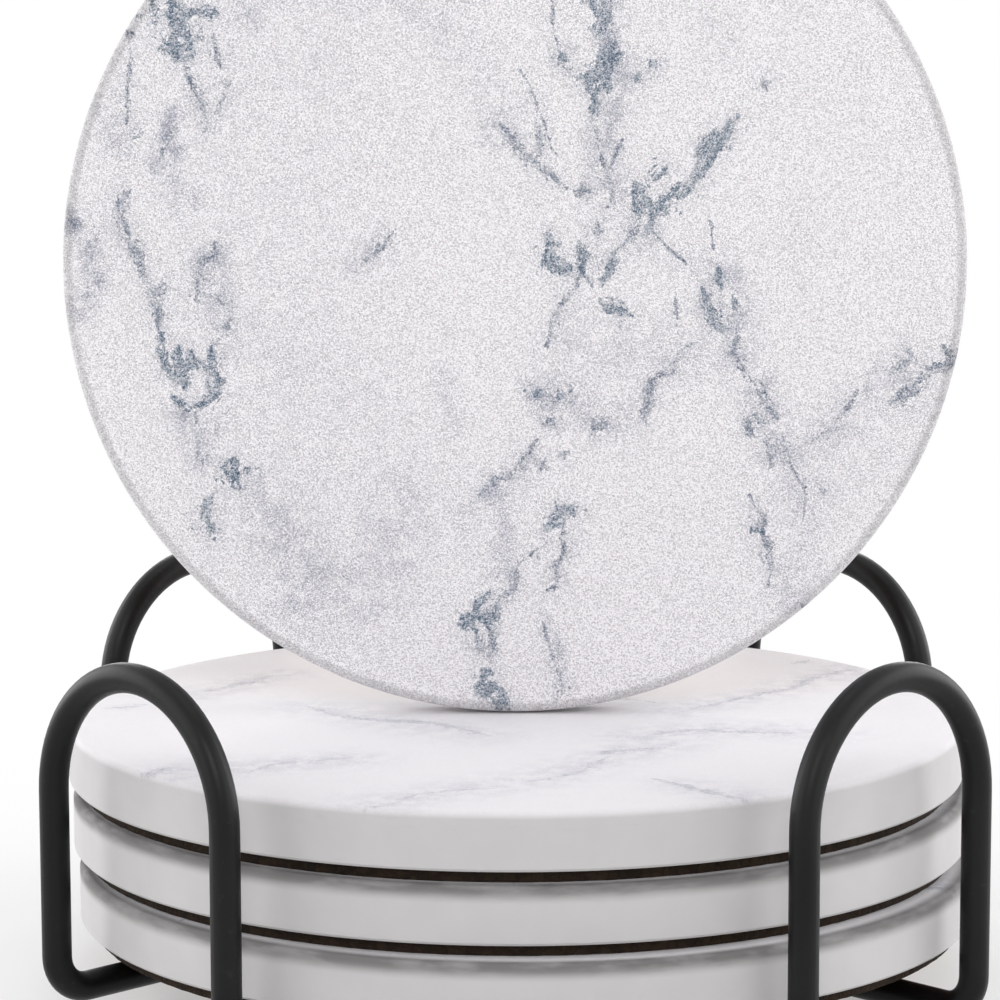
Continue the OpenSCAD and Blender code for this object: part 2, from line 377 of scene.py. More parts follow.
class CorkSettings(bpy.types.PropertyGroup):
    """Sizes and colours of the cork pads."""
    radius: length("Radius", "Radius of a cork pad", CORK_RADIUS)
    thickness: length("Thickness", "Thickness of a cork pad", CORK_THICKNESS)
    edge_radius: length("Edge radius", "Rounding of both edges", 0.12 * MM)
    relief: length("Relief", "Depth of the hollows between granules", 0.09 * MM)
    granule: length("Granule", "Size of a cork granule", 1.5 * MM)
    light: color("Light granules", "Colour of the palest granules", (0.44, 0.27, 0.14))
    dark: color("Dark granules", "Colour of the darkest granules", (0.17, 0.080, 0.035))
    reddish: color("Reddish granules", "Colour that some granules tend to", (0.33, 0.135, 0.055))
    fleck: color("Flecks", "Colour of scarce granules of bark", (0.060, 0.028, 0.014))
    binder: color("Binder", "Colour of the seams between granules", (0.085, 0.042, 0.020))
    # Painted shade: the near-black cut rim stands in for the shade in the recess between stacked coasters.
    scorch: color("Scorched rim", "Colour of the cut rim", (0.011, 0.008, 0.006))


class WireSettings(bpy.types.PropertyGroup):
    """Finish of the coated wire."""
    coat: color("Coat", "Colour of the powder coat", (0.0045, 0.0045, 0.0050))
    faded: color("Faded coat", "Colour that patches of it tend to", (0.011, 0.011, 0.012))
    dust: color("Dust", "Colour of the dust on it", (0.16, 0.155, 0.15))
    orange_peel: length("Orange peel", "Size of the coat's ripples", 0.7 * MM)


class StageSettings(bpy.types.PropertyGroup):
    """Camera, lamps and floor."""
    eye: bpy.props.FloatVectorProperty(
        name="Eye", description="Place of the camera", subtype="TRANSLATION",
        default=(0.29815, -0.29650, 0.11360))
    heading: angle("Heading", "Direction of view from +X, seen from above", 135.394)
    pitch: angle("Pitch", "How far the camera looks down", 8.202)
    roll: angle("Roll", "Turn of the camera about its line of view", -0.142)
    lens: amount("Lens", "Focal length in millimetres on a 36 mm sensor", 134.9)
    room_light: amount("Room light", "Strength of the even light from all round", 0.30)
    top_watts: amount("Top lamp", "Power of the softbox overhead, in watts", 0.85)
    key_watts: amount("Key lamp", "Power of the softbox above the camera, in watts", 2.1)
    back_watts: amount("Back lamp", "Power of the softbox behind the set, in watts", 3.4)
    side_watts: amount("Side lamps", "Power of each softbox at the side, in watts", 4.1)
    rim_watts: amount("Rim lamps", "Power of each softbox behind a side, in watts", 3.7)
    floor: color("Floor", "Colour of the floor", (0.90, 0.90, 0.90))
    cool_floor: color("Cool floor", "Colour that patches of the floor tend to", (0.88, 0.88, 0.885))


class CoasterSetSettings(bpy.types.PropertyGroup):
    """Everything that a user would change."""
    ceramic: bpy.props.PointerProperty(type=CeramicSettings)
    cork: bpy.props.PointerProperty(type=CorkSettings)
    wire: bpy.props.PointerProperty(type=WireSettings)
    stage: bpy.props.PointerProperty(type=StageSettings)


class NodeBench:
    """Places shader nodes in one tree and wires them as it goes."""

    def __init__(self, tree):
        self.tree = tree

    def wire(self, value, socket):
        if isinstance(value, bpy.types.NodeSocket):
            self.tree.links.new(value, socket)
        else:
            socket.default_value = value

    def add(self, kind, wires, **settings):
        """Adds a node and gives its outputs; wires has a value or a socket for each input."""
        node = self.tree.nodes.new("ShaderNode" + kind)
        for key, value in settings.items():
            setattr(node, key, value)
        for key, value in wires.items():
            self.wire(value, node.inputs[key])
        return node.outputs

    def group(self, build, wires):
        """Adds the node group that a function builds, made the first time that it is asked for."""
        name = build.__name__.replace("_", " ").capitalize()
        tree = bpy.data.node_groups.get(name) or node_group(name, build, wires)
        return self.add("Group", wires, node_tree=tree)

    def math(self, operation, *values):
        return self.add("Math", dict(enumerate(values)), operation=operation)[0]

    def times(self, first, second):
        return self.math("MULTIPLY", first, second)

    def minus(self, first, second):
        return self.math("SUBTRACT", first, second)

    def larger(self, first, second):
        return self.math("MAXIMUM", first, second)

    def times_plus(self, first, second, third):
        return self.math("MULTIPLY_ADD", first, second, third)

    def ease(self, value, low, high, start=0.0, end=1.0):
        """Eases from start to end while value goes from low to high."""
        wires = {0: value, 1: low, 2: high, 3: start, 4: end}
        return self.add("MapRange", wires, interpolation_type="SMOOTHSTEP")[0]

    def mix(self, share, *colors, blend="MIX"):
        """Mixes two colours, each a socket or three numbers."""
        first, second = (c if isinstance(c, bpy.types.NodeSocket) else (*c, 1.0) for c in colors)
        return self.add("Mix", {0: share, 6: first, 7: second}, data_type="RGBA", blend_type=blend)[2]

    def noise(self, vector, scale, detail=2.0, roughness=0.5, output="Fac"):
        """Noise that stays near 0.5; its Color output holds three of them."""
        wires = {"Vector": vector, "Scale": scale, "Detail": detail, "Roughness": roughness}
        return self.add("TexNoise", wires)[output]

    def swing(self, *noise):
        """Noise that stays near 0."""
        return self.minus(self.noise(*noise), 0.5)

    def cells(self, vector, scale, feature="F1"):
        return self.add("TexVoronoi", {"Vector": vector, "Scale": scale}, feature=feature)

    def vector(self, operation, *values):
        return self.add("VectorMath", dict(enumerate(values)), operation=operation)[0]

    def warped(self, vector, pull, *noise):
        """The vector pushed about by noise, up to pull along each axis."""
        push = self.vector("MULTIPLY", self.noise(vector, *noise, output="Color"), (pull, pull, pull))
        return self.vector("ADD", vector, push)

    def axes(self, vector):
        return self.add("SeparateXYZ", {0: vector})

    def channels(self, shade):
        return self.add("SeparateColor", {0: shade})

    def attribute(self, name, output="Vector"):
        return self.add("Attribute", {}, attribute_name=name)[output]

    def object_place(self):
        return self.add("TexCoord", {})["Object"]


def node_group(name, build, labels):
    """A shader node group with the labelled inputs, and the outputs that build gives."""
    tree = bpy.data.node_groups.new(name, "ShaderNodeTree")

    def add_socket(label, in_out, kind="Float"):
        tree.interface.new_socket(name=label, in_out=in_out, socket_type="NodeSocket" + kind)

    for label in labels:
        add_socket(label, "INPUT", "Vector" if label in {"Vector", "Strand", "Face"} else "Float")
    bench = NodeBench(tree)
    results = build(bench, tree.nodes.new("NodeGroupInput").outputs)
    for label in results:
        add_socket(label, "OUTPUT")
    ends = tree.nodes.new("NodeGroupOutput").inputs
    for label, value in results.items():
        bench.wire(value, ends[label])
    return tree


def ink_line(bench, given):
    """One thin line of ink that wanders beside its route, breaks off and starts again."""
    across, _, reach = bench.axes(given["Strand"])
    layer = bench.add("CombineXYZ", {2: given["Seed"]})[0]
    place = bench.vector("ADD", given["Face"], layer)
    wander, pooling, cuts = bench.channels(bench.noise(place, 0.36, 3.0, 0.55, "Color"))
    shifted = bench.math("ADD", bench.times(bench.minus(wander, 0.5), given["Sway"]), across)
    # The square of how far the place lies past the route's ends.
    past = bench.minus(bench.times(reach, reach), bench.times(across, across))
    past = bench.larger(bench.minus(past, 0.18), 0.0)
    distance = bench.math("SQRT", bench.times_plus(shifted, shifted, past))
    frayed = bench.times_plus(bench.swing(place, 2.4, 2.0, 0.6), 0.55, distance)
    width = bench.times(given["Thickness"], bench.ease(pooling, 0.36, 0.62, 0.50, 1.9))
    line = bench.ease(bench.minus(frayed, width), -0.14, 0.08, 1.0, 0.0)
    # Ink has pooled where the line is wide, and is thin elsewhere.
    line = bench.times(line, bench.ease(pooling, 0.38, 0.52, 0.75, 1.0))
    whole = bench.ease(cuts, 0.42, 0.50)
    kept = bench.times_plus(bench.minus(whole, 1.0), given["Breaks"], 1.0)
    return {"Ink": bench.times(line, kept)}


def vein_ink(bench, given):
    """Ink of one kind of vein: thin lines that wander and cross, and knots of short strokes."""
    face, half_width = given["Face"], given["Half width"]
    across, along, reach = bench.axes(given["Strand"])
    thickness = bench.times(given["Thickness"], bench.ease(half_width, 0.15, 0.9, 0.7, 1.35))
    lines = []
    for seed, share in VEIN_LINES:
        sway = bench.times_plus(half_width, bench.times(given["Sway"], share), 1.0)
        wires = {"Strand": given["Strand"], "Face": face, "Seed": seed, "Sway": sway,
                 "Thickness": thickness, "Breaks": given["Breaks"]}
        lines.append(bench.group(ink_line, wires)[0])
    # Only the wider veins have a second and a third line.
    others = bench.larger(lines[1], bench.times(lines[2], 0.8))
    ink = bench.larger(lines[0], bench.times(others, bench.ease(half_width, 0.28, 0.62)))

    # From -1 on the line to 0 at the band's edge and more beyond it.
    frayed = bench.times_plus(bench.swing(face, 1.5, 3.0, 0.65), 0.9, reach)
    half = bench.times(half_width, bench.ease(bench.noise(face, 0.42), 0.36, 0.62, 0.55, 1.35))
    depth = bench.math("DIVIDE", bench.minus(frayed, half), bench.larger(half, 0.2))
    thinning = bench.times(bench.math("MINIMUM", depth, 4.0), STROKE_THINNING)
    bent = bench.times_plus(bench.swing(face, 1.1), 1.6, across)
    lane = bench.add("CombineXYZ", {0: bench.times(bent, 2.4), 1: bench.times(along, 0.65)})[0]
    level = bench.minus(bench.noise(lane, 1.0, 4.0, 0.65), thinning)
    strokes = bench.times(bench.ease(level, STROKE_LOW, STROKE_HIGH), given["Knots"])
    mottle = bench.ease(bench.noise(face, 2.8, 3.0, 0.7), 0.38, 0.60, 0.58, 1.08)
    return {"Ink": bench.times(bench.larger(ink, strokes), mottle)}


def sand_grain(bench, given):
    """Fine sand: a shade for each grain, scarce dark specks, and a height."""
    cell = bench.cells(given["Vector"], given["Grains per unit"])
    shade, speck, height = bench.channels(cell["Color"])
    drift = bench.swing(given["Vector"], bench.times(given["Grains per unit"], 0.4))
    return {"Shade": bench.times_plus(drift, 0.12, shade),
            "Specks": bench.ease(speck, 0.90, 0.99),
            "Height": bench.times_plus(cell["Distance"], -0.8, height)}


def soft_clouds(bench, given):
    """Slow patches, from 0 to 1, with a warp so that they drift like vapour."""
    scale = bench.math("DIVIDE", 1.0, given["Size"])
    cloud = bench.noise(bench.warped(given["Vector"], 9.0, scale, 1.0), scale, 4.0, 0.55)
    return {"Cloud": bench.ease(cloud, given["Low"], given["High"])}


def powder_coat(bench, given):
    """Orange peel of a powder coat, with dull patches and a little dust."""
    place = given["Vector"]
    scale = bench.math("DIVIDE", 1.0, given["Ripple"])
    pores = bench.noise(place, bench.times(scale, 4.0))
    return {"Height": bench.times_plus(pores, 0.35, bench.noise(place, scale, 1.0)),
            "Roughness": bench.ease(bench.noise(place, 90.0, 3.0), 0.3, 0.7, 0.34, 0.44),
            "Dust": bench.ease(bench.noise(place, 900.0, 3.0), 0.60, 0.80)}


def new_material(name):
    """A material with its Principled BSDF, and a bench to work at."""
    material = bpy.data.materials.new(name)
    material.use_nodes = True
    return material, NodeBench(material.node_tree), material.node_tree.nodes["Principled BSDF"]


def finish_shader(bench, shader, base, roughness, relief, strength, depth, shine=0.5):
    """Wires a surface's colour, roughness and relief, which is depth millimetres deep."""
    bump = bench.add("Bump", {"Height": relief, "Strength": strength, "Distance": depth * MM})[0]
    wires = {"Base Color": base, "Roughness": roughness, "Normal": bump, "Specular IOR Level": shine}
    for key, value in wires.items():
        bench.wire(value, shader.inputs[key])


def dress(piece, material):
    """Gives the whole piece one material."""
    piece.data.materials.clear()
    piece.data.materials.append(material)


def ceramic_material(name, settings, look):
    """Unglazed ceramic, printed with veined marble on its face and bare on its side."""
    material, bench, shader = new_material(name)
    face = bench.attribute("face_mm")
    moved = bench.add("Mapping", {"Vector": face, "Location": look.shift})[0]
    wires = {"Vector": moved, "Grains per unit": GRAINS_PER_MM}
    shade, specks, bumps = bench.group(sand_grain, wires)

    wisps = bench.ease(bench.noise(moved, 0.45, 8.0, 0.74), 0.38, 0.60, 0.20, 1.45)
    haze = bench.times(bench.attribute("smoke", "Fac"), wisps)
    wires = {"Vector": moved, "Size": 11.0, "Low": 0.48, "High": 0.76}
    drift = bench.times(bench.group(soft_clouds, wires)[0], 0.10)
    settled = bench.ease(shade, 0.0, 0.9, 1.35, 0.55)
    veil = bench.times(bench.larger(haze, drift), bench.times(settled, look.ink))
    print_color = bench.mix(veil, settings.paper, settings.smoke)
    broken = bench.ease(shade, 0.0, 1.0, 1.30 * look.ink, 0.45 * look.ink)
    for kind, (sway, thickness, breaks, knots, density) in VEIN_LAYERS.items():
        wires = {"Strand": bench.attribute(kind + "_strand"), "Face": moved,
                 "Half width": bench.attribute(kind + "_width", "Fac"),
                 "Sway": sway, "Thickness": thickness, "Breaks": breaks, "Knots": knots}
        ink = bench.times(bench.group(vein_ink, wires)[0], broken)
        print_color = bench.mix(bench.times(ink, density), print_color, getattr(settings, kind))

    # The sand shows through the print and breaks it up.
    lift = bench.ease(shade, 0.0, 1.0, 1.0 - look.grain, 1.0 + look.grain)
    tone = bench.math("ADD", lift, bench.times(specks, -0.9 * look.grain))
    grey = bench.add("CombineColor", {0: tone, 1: tone, 2: tone})[0]
    sandy = bench.mix(1.0, print_color, grey, blend="MULTIPLY")

    # Below the rounded edge the ceramic is bare, with faint grey scuff marks that lie in a strip under the
    # edge, where their grey also paints shade.
    height = bench.axes(face)[2]
    top = settings.thickness / MM
    shoulder = top - settings.edge_radius / MM
    printed = bench.ease(height, shoulder + 0.02, shoulder + look.fade)
    streaked = bench.add("Mapping", {"Vector": moved, "Scale": (0.35, 0.35, 1.6)})[0]
    scuffs = bench.ease(bench.noise(streaked, 1.0, 3.0, 0.6), 0.54, 0.74)
    painted_shade_band = bench.ease(height, top - 2.6, top - 0.9)
    mottle = bench.ease(bench.noise(moved, 0.22, 3.0), 0.3, 0.7, 0.0, 0.10)
    scuffed_and_shaded = bench.times_plus(bench.times(scuffs, painted_shade_band), 0.16, mottle)
    clean = bench.mix(printed, bench.mix(scuffed_and_shaded, settings.bare, settings.scuffs), sandy)
    # Painted shade: the exposed rim of the face, the rounded edge and the top of the side are darkened in the
    # colour on the two lower coasters, where the seam above would shade them, and on the rounded edge of the
    # standing one.
    rim = bench.ease(bench.attribute("rim", "Fac"), look.dusk_from, 0.985)
    edge = bench.times(bench.ease(height, top - 1.9, top - 0.25), rim)
    dusk = bench.ease(bench.noise(streaked, 0.5, 3.0), 0.3, 0.6, 0.8 * look.dusk, look.dusk)
    dusty_and_shaded = bench.mix(bench.times(edge, dusk), clean, settings.dust)
    rough = bench.ease(shade, 0.0, 1.0, 0.74, 0.92)
    relief = bench.times(bumps, bench.ease(printed, 0.0, 1.0, 0.12, 1.0))
    finish_shader(bench, shader, dusty_and_shaded, rough, relief, strength=0.55, depth=0.035, shine=0.25)
    return material


def cork_material(name, settings, shift):
    """Pressed cork: granules of many browns in a dark binder, with painted shade that darkens its cut rim
    nearly to black.
    """
    material, bench, shader = new_material(name)
    moved = bench.add("Mapping", {"Vector": bench.object_place(), "Location": shift})[0]
    bent = bench.warped(moved, 1.3 * MM, 900.0, 4.0, 0.62)
    scale = 1.0 / settings.granule
    crack = bench.cells(bent, scale, "DISTANCE_TO_EDGE")["Distance"]
    # Crumbs fill the room between the larger granules.
    small = bench.cells(bent, scale * 2.4)["Color"]
    crumbs = bench.ease(bench.channels(small)[2], 0.50, 0.54)
    hue, red, rare = bench.channels(bench.mix(crumbs, bench.cells(bent, scale)["Color"], small))
    grain = bench.noise(bent, 5200.0, 3.0, 0.6)
    shade = bench.times_plus(bench.minus(grain, 0.5), 0.55, hue)
    brown = bench.mix(bench.ease(shade, 0.05, 0.95), settings.dark, settings.light)
    # Painted shade darkens the cut rim nearly to black.
    rim = bench.ease(bench.attribute("rim", "Fac"), 0.985, 0.998, 0.0, 0.95)
    layers = ((bench.times(red, 0.35), settings.reddish),
              (bench.times(bench.ease(rare, 0.86, 0.93), 0.75), settings.fleck),
              (bench.times(bench.ease(crack, 0.02, 0.10, 1.0, 0.0), 0.38), settings.binder),
              (rim, settings.scorch))
    for share, layer in layers:
        brown = bench.mix(share, brown, layer)
    relief = bench.times_plus(grain, 0.5, bench.ease(crack, 0.0, 0.16))
    rough = bench.ease(grain, 0.3, 0.7, 0.78, 0.95)
    finish_shader(bench, shader, brown, rough, relief, strength=0.7, depth=0.10, shine=0.2)
    return material


def adhesive_material():
    """Amber film of adhesive, with cloudy patches and small bubbles."""
    material, bench, shader = new_material("Amber adhesive")
    place = bench.object_place()
    cloud = bench.ease(bench.noise(place, 260.0, 4.0), 0.35, 0.65)
    amber = bench.mix(cloud, (0.40, 0.27, 0.10), (0.56, 0.42, 0.20))
    bubble = bench.cells(place, 900.0)["Distance"]
    pale = bench.mix(bench.ease(bubble, 0.10, 0.16, 0.5, 0.0), amber, (0.72, 0.62, 0.42))
    rough = bench.ease(cloud, 0.0, 1.0, 0.30, 0.48)
    finish_shader(bench, shader, pale, rough, bubble, strength=0.3, depth=0.05)
    return material


def coat_material(name, settings, welded):
    """Black satin powder coat; over a weld it is lumpier and a little duller."""
    material, bench, shader = new_material(name)
    place = bench.object_place()
    wires = {"Vector": place, "Ripple": settings.orange_peel}
    relief, rough, dust = bench.group(powder_coat, wires)
    patch = bench.ease(bench.noise(place, 60.0), 0.3, 0.7, 0.0, 0.5)
    black = bench.mix(patch, settings.coat, settings.faded)
    dusty_and_shaded = bench.mix(bench.times(dust, 0.05), black, settings.dust)
    if welded:
        lumps = bench.noise(place, 850.0, 3.0, 0.6)
        relief = bench.times_plus(lumps, 3.0, relief)
        rough = bench.math("ADD", rough, bench.ease(lumps, 0.3, 0.7, 0.02, 0.12))
    finish_shader(bench, shader, dusty_and_shaded, rough, relief, strength=0.35, depth=0.03, shine=0.20)
    return material


def smooth_route(points, step):
    """A curve through the points of a route, as points about a step apart."""
    points = [np.array(p, float) for p in points]
    if len(points) == 1:
        return np.array([points[0], points[0] + (0.05, 0.0)])
    padded = [2 * points[0] - points[1], *points, 2 * points[-1] - points[-2]]
    curve = []
    for before, start, end, after in zip(padded, padded[1:], padded[2:], padded[3:]):
        count = max(2, math.ceil(np.linalg.norm(end - start) / step))
        for t in np.arange(count) / count:
            curve.append(0.5 * (2 * start + (end - before) * t
                                + (2 * before - 5 * start + 4 * end - after) * t ** 2
                                + (3 * start - before - 3 * end + after) * t ** 3))
    return np.array(curve + [points[-1]])


def distances(spots, line, margin):
    """Across, along and reach to a line, from the spots within a margin of it."""
    result = np.full((len(spots), 3), FAR)
    close = np.all((spots > line.min(0) - margin) & (spots < line.max(0) + margin), axis=1)
    spots = spots[close]
    found = result[close]
    run = 0.0
    for start, end in zip(line, line[1:]):
        stretch = end - start
        span = np.linalg.norm(stretch)
        offset = spots - start
        share = np.clip(offset @ stretch / span ** 2, 0.0, 1.0)
        gap = offset - share[:, None] * stretch
        reach = np.hypot(gap[:, 0], gap[:, 1])
        across = (stretch[0] * gap[:, 1] - stretch[1] * gap[:, 0]) / span
        nearer = reach < found[:, 2]
        found[nearer] = np.stack((across, run + share * span, reach), axis=1)[nearer]
        run += span
    result[close] = found
    return result, run


def strand_fields(spots, veins, spread):
    """Strand and half width of the nearest vein for each spot; a vein thins to its ends."""
    strand = np.full((len(spots), 3), FAR)
    width = np.zeros(len(spots))
    for order, (half_width, points) in enumerate(veins):
        found, run = distances(spots, smooth_route(points, VEIN_STEP), VEIN_REACH)
        if len(points) == 1:
            taper = np.ones(len(spots))
            found[:, 1] = SPOT_STRETCH * (spots[:, 0] - points[0][0])
        else:
            share = np.clip(found[:, 1] / run, 0.0, 1.0)
            taper = END_WIDTH + (1.0 - END_WIDTH) * np.sqrt(np.sin(math.pi * share).clip(0.0))
        here = spread * half_width * taper
        found[:, 1] += VEIN_STRIDE * order
        nearer = found[:, 2] - here < strand[:, 2] - width
        strand[nearer] = found[nearer]
        width[nearer] = here[nearer]
    return strand, width


def smoke_field(spots, trails, strands):
    """Density of the smoke for each spot, with a thin halo round every vein."""
    clear = np.ones(len(spots))
    for half_width, density, points in trails:
        reach = distances(spots, smooth_route(points, TRAIL_STEP), 3 * half_width)[0][:, 2]
        clear *= 1.0 - density * np.exp(-(reach / half_width) ** 2)
    for strand, width in strands:
        halo = HALO_DENSITY * np.exp(-(strand[:, 2] / HALO_REACH) ** 2)
        clear *= 1.0 - halo * np.clip(width / HALO_VEIN, 0.0, 1.0)
    return 1.0 - clear


def print_face(piece, turn, veins, trails):
    """Stores the layout of the print on a disc that lies about the origin."""
    mesh = piece.data
    place = vertex_places(mesh) / MM
    cosine, sine = math.cos(-turn), math.sin(-turn)
    spots = place[:, :2] @ np.array(((cosine, sine), (-sine, cosine)))
    strands = {kind: strand_fields(spots, veins[kind], SPREAD[kind]) for kind in veins}
    store(mesh, "face_mm", np.column_stack((spots, place[:, 2])))
    store(mesh, "rim", np.hypot(place[:, 0], place[:, 1]) * MM / DISC_RADIUS)
    store(mesh, "smoke", smoke_field(spots, trails, strands.values()))
    for kind, (strand, width) in strands.items():
        store(mesh, kind + "_strand", strand)
        store(mesh, kind + "_width", width)


def vertex_places(mesh):
    """The places of a mesh's vertices, one row each."""
    place = np.empty(len(mesh.vertices) * 3)
    mesh.vertices.foreach_get("co", place)
    return place.reshape(-1, 3)


def store(mesh, name, values):
    """Stores one value or vector for each vertex."""
    kind, field = ("FLOAT_VECTOR", "vector") if values.ndim == 2 else ("FLOAT", "value")
    mesh.attributes.new(name, kind, "POINT").data.foreach_set(field, values.astype(np.float32).ravel())


def select_only(piece=None):
    """Deselects everything, because operators act on all that is selected, and selects the piece."""
    bpy.ops.object.select_all(action="DESELECT")
    if piece:
        piece.select_set(True)
        bpy.context.view_layer.objects.active = piece


def select_where(piece, kind, chosen):
    """Selects the vertices or edges for which chosen says so, in edit mode."""
    bpy.ops.mesh.select_mode(type=kind)
    bpy.ops.mesh.select_all(action="DESELECT")
    bpy.ops.object.mode_set(mode="OBJECT")
    mesh = piece.data
    parts = mesh.vertices if kind == "VERT" else mesh.edges
    for part in parts:
        part.select = chosen(part)
    bpy.ops.object.mode_set(mode="EDIT")


def start_outline(name, points):
    """Draws an open outline in the XZ plane by extruding one vertex from point to point."""
    select_only()
    bpy.ops.mesh.primitive_plane_add(size=MM)
    piece = bpy.context.object
    piece.name = piece.data.name = name
    bpy.ops.object.mode_set(mode="EDIT")
    bpy.ops.mesh.select_all(action="SELECT")
    bpy.ops.mesh.merge(type="CENTER")
    bpy.ops.transform.translate(value=(points[0][0], 0, points[0][1]))
    for (x0, z0), (x1, z1) in zip(points, points[1:]):
        bpy.ops.mesh.extrude_region_move(TRANSFORM_OT_translate={"value": (x1 - x0, 0, z1 - z0)})
    return piece


def round_corner(piece, x, z, offset, segments):
    """Rounds the outline's corner at (x, z); one segment gives a chamfer."""
    tolerance = 0.02 * MM
    select_where(piece, "VERT", lambda v: abs(v.co.x - x) < tolerance and abs(v.co.z - z) < tolerance)
    bpy.ops.mesh.bevel(offset=offset, segments=segments, profile=0.5, affect="VERTICES")


def cut_stretch(piece, cuts, chosen):
    """Subdivides the outline's edges whose two ends are both chosen."""
    select_where(piece, "EDGE", lambda e: all(chosen(piece.data.vertices[i].co) for i in e.vertices))
    bpy.ops.mesh.subdivide(number_cuts=cuts)


def spin_outline(piece, steps, smooth_angle):
    """Spins the outline about +Z into a closed, smooth-shaded body."""
    bpy.ops.mesh.select_mode(type="VERT")
    bpy.ops.mesh.select_all(action="SELECT")
    bpy.ops.mesh.spin(steps=steps, angle=2 * math.pi, center=(0, 0, 0), axis=(0, 0, 1))
    bpy.ops.mesh.select_all(action="SELECT")
    bpy.ops.mesh.remove_doubles(threshold=0.002 * MM)
    bpy.ops.mesh.normals_make_consistent(inside=False)
    bpy.ops.object.mode_set(mode="OBJECT")
    select_only(piece)
    bpy.ops.object.shade_smooth_by_angle(angle=smooth_angle)


def spun_disc(name, settings, corners, face_z, face_cuts, side_cuts, steps, smooth_degrees):
    """A disc about the origin, bottom at z = 0. A corner is its height, offset and segments."""
    radius, top = settings.radius, settings.thickness
    piece = start_outline(name, ((0, 0), (radius, 0), (radius, top), (0, top)))
    for z, offset, segments in corners:
        round_corner(piece, radius, z, offset, segments)
    near = 0.01 * MM
    cut_stretch(piece, face_cuts, lambda co: abs(co.z - face_z) < near)
    cut_stretch(piece, side_cuts, lambda co: abs(co.x - radius) < near)
    spin_outline(piece, steps, math.radians(smooth_degrees))
    return piece


def ceramic_blank(settings):
    """One ceramic disc, face up, with most of its faces on the print."""
    top = settings.thickness
    corners = ((top, settings.edge_radius, 10), (0, settings.chamfer, 1))
    return spun_disc("ceramic_blank", settings, corners, face_z=top, face_cuts=settings.rings - 1,
                     side_cuts=5, steps=settings.steps, smooth_degrees=30)


def cork_blank(settings):
    """One cork pad, with hollows between its granules pressed inwards."""
    corners = ((0, settings.edge_radius, 2), (settings.thickness, settings.edge_radius, 2))
    piece = spun_disc("cork_blank", settings, corners, face_z=0, face_cuts=70, side_cuts=3, steps=360,
                      smooth_degrees=40)
    texture = bpy.data.textures.new("Granules", "VORONOI")
    texture.noise_scale = settings.granule
    texture.noise_intensity = 1.0
    hollows = piece.modifiers.new("Hollows", "DISPLACE")
    hollows.texture = texture
    hollows.texture_coords = "LOCAL"
    hollows.mid_level = 1.0
    hollows.strength = settings.relief
    place = vertex_places(piece.data)
    store(piece.data, "rim", np.hypot(place[:, 0], place[:, 1]) / settings.radius)
    bpy.ops.object.modifier_apply(modifier=hollows.name)
    return piece


def placed_copy(blank, name, place):
    """A copy of the blank with its own mesh, moved so that its place is in its mesh."""
    select_only(blank)
    bpy.ops.object.duplicate(linked=False)
    copy = bpy.context.object
    copy.name = copy.data.name = name
    copy.matrix_world = place
    bpy.ops.object.transform_apply(location=True, rotation=True, scale=True)
    return copy


def discard(piece):
    """Removes a blank once its copies are made."""
    mesh = piece.data
    bpy.data.objects.remove(piece)
    bpy.data.meshes.remove(mesh)


def place_of(place, node, depth):
    """Where a piece with its bottom at the origin goes.

    A stacked coaster's piece lies where its node does; the standing one's stands
    with its bottom depth behind the face.
    """
    if place != "standing":
        low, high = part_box(node)
        return Matrix.Translation(((low.x + high.x) / 2, (low.y + high.y) / 2, low.z))
    out = Vector(FACE_MOUNT["axis"]).normalized()
    up = Vector((0, 0, 1))
    side = up.cross(out)
    turn = Matrix((side, up, out)).transposed().to_4x4()
    return Matrix.Translation(Vector(FACE_MOUNT["pos_m"]) - depth * out) @ turn


class COASTERS_OT_ceramic(bpy.types.Operator):
    """Makes the four ceramic discs, printed and bare"""
    bl_idname = "coasters.make_ceramic"
    bl_label = "Ceramic discs"

    def execute(self, context):
        settings = context.scene.coaster_set.ceramic
        blank = ceramic_blank(settings)
        for place, look in LOOKS.items():
            node = place + "_ceramic_disc"
            disc = placed_copy(blank, place + "_ceramic", Matrix.Identity(4))
            if place == "standing":
                print_face(disc, 0.0, {"teal": TEAL_VEINS, "slate": SLATE_VEINS}, SMOKE_TRAILS)
            else:
                print_face(disc, math.radians(look.turn), {"teal": (), "slate": STREAKS}, STREAK_HAZE)
            disc.data.transform(place_of(place, node, settings.thickness))
            dress(disc, ceramic_material("Ceramic, " + place, settings, look))
            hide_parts(node)
            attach(disc, place + "_coaster")
        discard(blank)
        return {"FINISHED"}


class COASTERS_OT_cork(bpy.types.Operator):
    """Makes the four cork pads"""
    bl_idname = "coasters.make_cork"
    bl_label = "Cork pads"

    def execute(self, context):
        settings = context.scene.coaster_set.cork
        film_low, film_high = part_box("top_adhesive_film")
        behind_face = context.scene.coaster_set.ceramic.thickness + film_high.z - film_low.z
        blank = cork_blank(settings)
        for order, place in enumerate(LOOKS):
            node = place + "_cork_pad"
            spot = place_of(place, node, behind_face + settings.thickness)
            pad = placed_copy(blank, place + "_cork", spot)
            dress(pad, cork_material("Cork, " + place, settings, (0.13 * order, 0.07, 0.0)))
            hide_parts(node)
            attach(pad, place + "_coaster")
        discard(blank)
        return {"FINISHED"}


class COASTERS_OT_adhesive(bpy.types.Operator):
    """Gives the adhesive films their finish"""
    bl_idname = "coasters.finish_adhesive"
    bl_label = "Adhesive films"

    def execute(self, context):
        material = adhesive_material()
        for place in LOOKS:
            dress(frame["nodes"][place + "_adhesive_film"], material)
        return {"FINISHED"}


